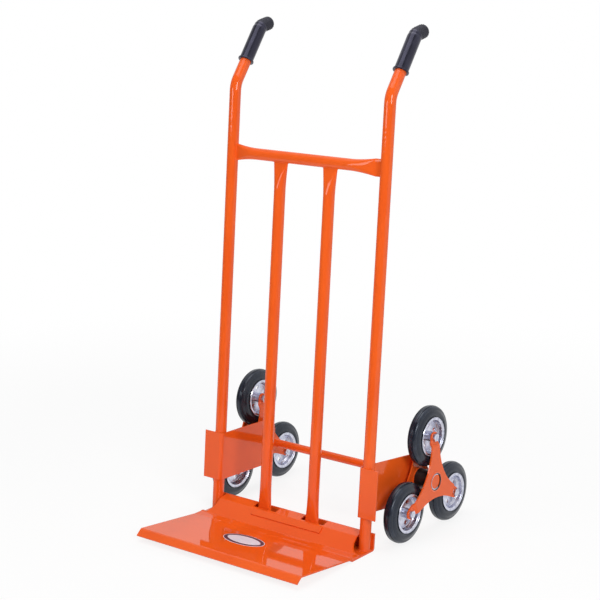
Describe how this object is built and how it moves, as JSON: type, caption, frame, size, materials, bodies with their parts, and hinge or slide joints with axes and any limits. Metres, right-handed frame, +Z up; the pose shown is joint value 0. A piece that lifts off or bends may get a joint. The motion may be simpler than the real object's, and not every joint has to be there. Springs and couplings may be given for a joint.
{
  "type": "stair climbing hand truck",
  "caption": "Tubular steel hand truck with a sheet toe plate, flattened slats, bent handles with grips, and a turning wheel cluster at each side for climbing stairs.",
  "frame": {"origin": "on the floor, midway between the points where the two uprights' axes meet it, on the flat underside of the base angle", "axes": "+Z up, +X to the right seen from the toe plate's side, +Y from the toe plate back to the wheels"},
  "size_m": [0.629, 0.7063, 1.3118],
  "materials": {
    "orange_paint": "glossy orange powder coat on steel",
    "zinc_steel": "bright zinc plate",
    "tyre_rubber": "satin black solid rubber",
    "grip_rubber": "satin black moulded grip, matt knurled tip",
    "black_steel": "satin black steel tube",
    "nylon": "natural nylon bush",
    "label": "plain pale oval with a dark edge, no print"
  },
  "bodies": {
    "frame": {"upper_crossbar": "orange_paint", "base_angle": "orange_paint", "toe_plate": "orange_paint", "slat_tie_bar": "orange_paint", "oval_plate": "label", "axle": "orange_paint", "thrust_collars": "zinc_steel", "axle_end_washers": "zinc_steel", "axle_clips": "zinc_steel", "upright_right": "orange_paint", "upright_left": "orange_paint", "slat_right": "orange_paint", "slat_left": "orange_paint", "wheel_bracket_right": "orange_paint", "wheel_bracket_left": "orange_paint", "grip_right": "grip_rubber", "grip_left": "grip_rubber"},
    "cluster_right": {"spider_inner_right": "orange_paint", "spider_outer_right": "orange_paint", "hub_tube_right": "black_steel", "hub_bushes_right": "nylon", "hub_cap_right": "orange_paint", "snap_ring_right": "zinc_steel", "wheel_bolts_right": "zinc_steel", "wheel_nuts_right": "zinc_steel", "wheel_spacers_right": "zinc_steel"},
    "cluster_left": {"spider_inner_left": "orange_paint", "spider_outer_left": "orange_paint", "hub_tube_left": "black_steel", "hub_bushes_left": "nylon", "hub_cap_left": "orange_paint", "snap_ring_left": "zinc_steel", "wheel_bolts_left": "zinc_steel", "wheel_nuts_left": "zinc_steel", "wheel_spacers_left": "zinc_steel"},
    "wheel_top_right": {"tyre_top_right": "tyre_rubber", "rim_outer_top_right": "zinc_steel", "rim_inner_top_right": "zinc_steel", "sleeve_top_right": "zinc_steel"},
    "wheel_front_right": {"tyre_front_right": "tyre_rubber", "rim_outer_front_right": "zinc_steel", "rim_inner_front_right": "zinc_steel", "sleeve_front_right": "zinc_steel"},
    "wheel_rear_right": {"tyre_rear_right": "tyre_rubber", "rim_outer_rear_right": "zinc_steel", "rim_inner_rear_right": "zinc_steel", "sleeve_rear_right": "zinc_steel"},
    "wheel_top_left": {"tyre_top_left": "tyre_rubber", "rim_outer_top_left": "zinc_steel", "rim_inner_top_left": "zinc_steel", "sleeve_top_left": "zinc_steel"},
    "wheel_front_left": {"tyre_front_left": "tyre_rubber", "rim_outer_front_left": "zinc_steel", "rim_inner_front_left": "zinc_steel", "sleeve_front_left": "zinc_steel"},
    "wheel_rear_left": {"tyre_rear_left": "tyre_rubber", "rim_outer_rear_left": "zinc_steel", "rim_inner_rear_left": "zinc_steel", "sleeve_rear_left": "zinc_steel"}
  },
  "joints": [
    {"name": "cluster_right_turn", "type": "hinge", "parent": "frame", "child": "cluster_right", "pos_m": [0.28501, 0.22044, 0.14], "axis": [1, 0, 0], "continuous": true},
    {"name": "cluster_left_turn", "type": "hinge", "parent": "frame", "child": "cluster_left", "pos_m": [-0.28501, 0.22044, 0.14], "axis": [1, 0, 0], "continuous": true},
    {"name": "wheel_top_right_spin", "type": "hinge", "parent": "cluster_right", "child": "wheel_top_right", "pos_m": [0.28501, 0.22044, 0.26], "axis": [1, 0, 0], "continuous": true},
    {"name": "wheel_front_right_spin", "type": "hinge", "parent": "cluster_right", "child": "wheel_front_right", "pos_m": [0.28501, 0.11651, 0.08], "axis": [1, 0, 0], "continuous": true},
    {"name": "wheel_rear_right_spin", "type": "hinge", "parent": "cluster_right", "child": "wheel_rear_right", "pos_m": [0.28501, 0.32436, 0.08], "axis": [1, 0, 0], "continuous": true},
    {"name": "wheel_top_left_spin", "type": "hinge", "parent": "cluster_left", "child": "wheel_top_left", "pos_m": [-0.28501, 0.22044, 0.26], "axis": [1, 0, 0], "continuous": true},
    {"name": "wheel_front_left_spin", "type": "hinge", "parent": "cluster_left", "child": "wheel_front_left", "pos_m": [-0.28501, 0.11651, 0.08], "axis": [1, 0, 0], "continuous": true},
    {"name": "wheel_rear_left_spin", "type": "hinge", "parent": "cluster_left", "child": "wheel_rear_left", "pos_m": [-0.28501, 0.32436, 0.08], "axis": [1, 0, 0], "continuous": true}
  ]
}
